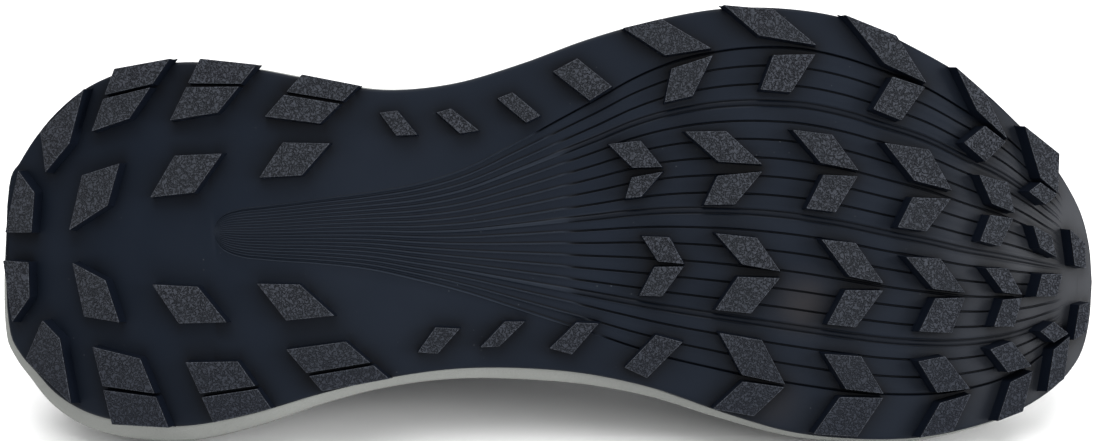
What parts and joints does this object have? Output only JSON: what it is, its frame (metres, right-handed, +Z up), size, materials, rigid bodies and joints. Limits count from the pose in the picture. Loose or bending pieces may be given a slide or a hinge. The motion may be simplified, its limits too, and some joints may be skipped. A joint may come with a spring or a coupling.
{
  "type": "trail running shoe",
  "caption": "Right low-cut trail running shoe lying on its medial side: chevron-lugged rubber outsole, cupped foam midsole, hollow mesh upper with overlays, padded tongue, insole, flat laces.",
  "frame": {"origin": "middle of the bounding box's base, on the floor under the shoe as it lies on its medial side", "axes": "+X from heel to toe, -Y the way the tread faces, +Z up to the lateral side"},
  "size_m": [0.3036, 0.1336, 0.1177],
  "materials": {
    "outsole_rubber": "navy-charcoal rubber, satin web with leathery grain on the lug tops",
    "midsole_foam": "pale grey-green moulded foam with a matt skin",
    "upper_mesh": "dark engineered mesh",
    "overlay_film": "black welded film, satin",
    "tongue_cloth": "dark padded knit",
    "insole_cloth": "brushed grey sockliner cloth",
    "lace_cord": "flat woven lace, dark",
    "loop_webbing": "dark woven webbing",
    "eyelet_ring": "dark moulded reinforcement ring"
  },
  "bodies": {
    "root": {"outsole": "outsole_rubber", "midsole": "midsole_foam", "upper": "upper_mesh", "toe_cap": "overlay_film", "heel_counter": "overlay_film", "eyestay": "overlay_film", "tongue": "tongue_cloth", "insole": "insole_cloth", "lace": "lace_cord", "pull_loop": "loop_webbing", "eyelet_lateral_1": "eyelet_ring", "eyelet_lateral_2": "eyelet_ring", "eyelet_lateral_3": "eyelet_ring", "eyelet_lateral_4": "eyelet_ring", "eyelet_lateral_5": "eyelet_ring", "eyelet_lateral_6": "eyelet_ring", "eyelet_medial_1": "eyelet_ring", "eyelet_medial_2": "eyelet_ring", "eyelet_medial_3": "eyelet_ring", "eyelet_medial_4": "eyelet_ring", "eyelet_medial_5": "eyelet_ring", "eyelet_medial_6": "eyelet_ring"}
  },
  "joints": []
}
